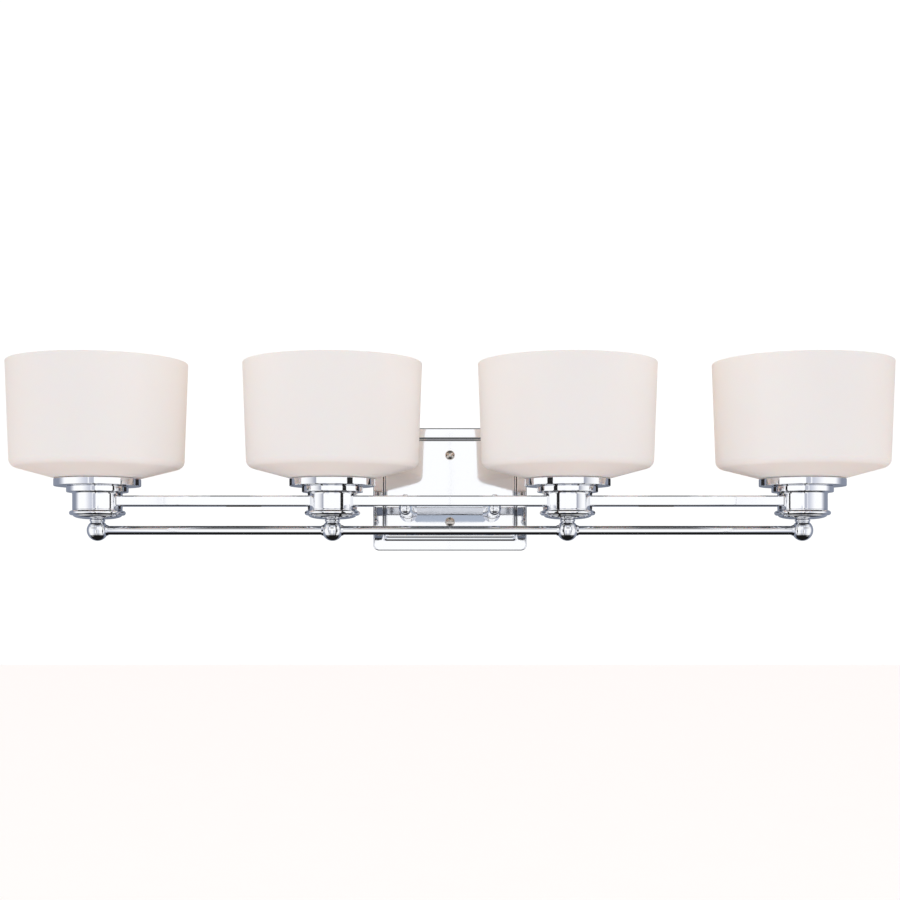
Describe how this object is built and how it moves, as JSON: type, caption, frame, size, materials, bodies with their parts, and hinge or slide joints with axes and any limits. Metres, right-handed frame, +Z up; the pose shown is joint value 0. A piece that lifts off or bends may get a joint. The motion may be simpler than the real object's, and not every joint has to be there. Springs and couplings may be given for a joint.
{
  "type": "vanity light bar",
  "caption": "Wall-mounted vanity light bar: opal glass drum shades stand on stepped chrome hubs along a rectangular bar with a thin rod below, held out on arms from a raised backplate.",
  "frame": {"origin": "centre of the backplate in the wall plane, midway between the two junction-box slots", "axes": "+X along the bar, to the right seen from the room; +Y into the wall; +Z up"},
  "size_m": [0.9406, 0.2402, 0.1973],
  "materials": {
    "chrome": "bright polished chrome plate",
    "satin_nickel": "satin nickel plate, slightly warm",
    "opal_glass": "satin-etched opal white glass, opaque to sight",
    "porcelain": "glazed white porcelain",
    "socket_aluminium": "drawn aluminium, bright",
    "ring_plastic": "moulded white phenolic, semi-matt",
    "gasket_rubber": "soft grey silicone",
    "zinc_steel": "zinc-plated steel, satin",
    "brass": "plain turned brass",
    "green_screw": "green-dyed zinc plate",
    "black_insulation": "smooth PVC",
    "white_insulation": "smooth PVC",
    "green_insulation": "smooth PVC",
    "wire_nut_plastic": "ribbed orange thermoplastic"
  },
  "bodies": {
    "fixture": {"backplate": "chrome", "box_strap": "zinc_steel", "swivel_strap": "zinc_steel", "strap_pivot": "zinc_steel", "bracket_studs": "zinc_steel", "ground_screw": "green_screw", "arm_left": "chrome", "arm_right": "chrome", "arm_flange_left": "chrome", "arm_flange_right": "chrome", "arm_washers": "zinc_steel", "arm_lock_nuts": "brass", "top_bar": "chrome", "bar_screws": "chrome", "lower_rod": "chrome", "nipples": "brass", "nipple_nuts": "brass", "finial_studs": "zinc_steel", "finial_nuts": "zinc_steel", "shade_gaskets": "gasket_rubber", "socket_contacts": "brass", "wire_nuts": "wire_nut_plastic", "black_leads": "black_insulation", "white_leads": "white_insulation", "ground_lead": "green_insulation", "hub_1": "chrome", "hub_base_1": "chrome", "ball_1": "chrome", "lamp_cup_1": "chrome", "socket_1": "porcelain", "socket_shell_1": "socket_aluminium", "hub_2": "chrome", "hub_base_2": "chrome", "ball_2": "chrome", "lamp_cup_2": "chrome", "socket_2": "porcelain", "socket_shell_2": "socket_aluminium", "hub_3": "chrome", "hub_base_3": "chrome", "ball_3": "chrome", "lamp_cup_3": "chrome", "socket_3": "porcelain", "socket_shell_3": "socket_aluminium", "hub_4": "chrome", "hub_base_4": "chrome", "ball_4": "chrome", "lamp_cup_4": "chrome", "socket_4": "porcelain", "socket_shell_4": "socket_aluminium"},
    "shade_1": {"shade_1": "opal_glass"},
    "ring_1": {"shade_ring_1": "ring_plastic"},
    "shade_2": {"shade_2": "opal_glass"},
    "ring_2": {"shade_ring_2": "ring_plastic"},
    "shade_3": {"shade_3": "opal_glass"},
    "ring_3": {"shade_ring_3": "ring_plastic"},
    "shade_4": {"shade_4": "opal_glass"},
    "ring_4": {"shade_ring_4": "ring_plastic"},
    "nut_upper": {"cap_nut_upper": "satin_nickel"},
    "nut_lower": {"cap_nut_lower": "satin_nickel"}
  },
  "joints": [
    {"name": "shade_lift_1", "type": "slide", "parent": "fixture", "child": "shade_1", "axis": [0, 0, 1], "range_m": [0, 0.06]},
    {"name": "ring_turn_1", "type": "hinge", "parent": "shade_1", "child": "ring_1", "pos_m": [-0.375, -0.145, 0.007], "axis": [0, 0, 1], "continuous": true},
    {"name": "shade_lift_2", "type": "slide", "parent": "fixture", "child": "shade_2", "axis": [0, 0, 1], "range_m": [0, 0.06]},
    {"name": "ring_turn_2", "type": "hinge", "parent": "shade_2", "child": "ring_2", "pos_m": [-0.125, -0.145, 0.007], "axis": [0, 0, 1], "continuous": true},
    {"name": "shade_lift_3", "type": "slide", "parent": "fixture", "child": "shade_3", "axis": [0, 0, 1], "range_m": [0, 0.06]},
    {"name": "ring_turn_3", "type": "hinge", "parent": "shade_3", "child": "ring_3", "pos_m": [0.125, -0.145, 0.007], "axis": [0, 0, 1], "continuous": true},
    {"name": "shade_lift_4", "type": "slide", "parent": "fixture", "child": "shade_4", "axis": [0, 0, 1], "range_m": [0, 0.06]},
    {"name": "ring_turn_4", "type": "hinge", "parent": "shade_4", "child": "ring_4", "pos_m": [0.375, -0.145, 0.007], "axis": [0, 0, 1], "continuous": true},
    {"name": "nut_turn_upper", "type": "hinge", "parent": "fixture", "child": "nut_upper", "pos_m": [0, -0.0245, 0.0381], "axis": [0, 1, 0], "continuous": true},
    {"name": "nut_turn_lower", "type": "hinge", "parent": "fixture", "child": "nut_lower", "pos_m": [0, -0.0245, -0.0381], "axis": [0, 1, 0], "continuous": true}
  ]
}
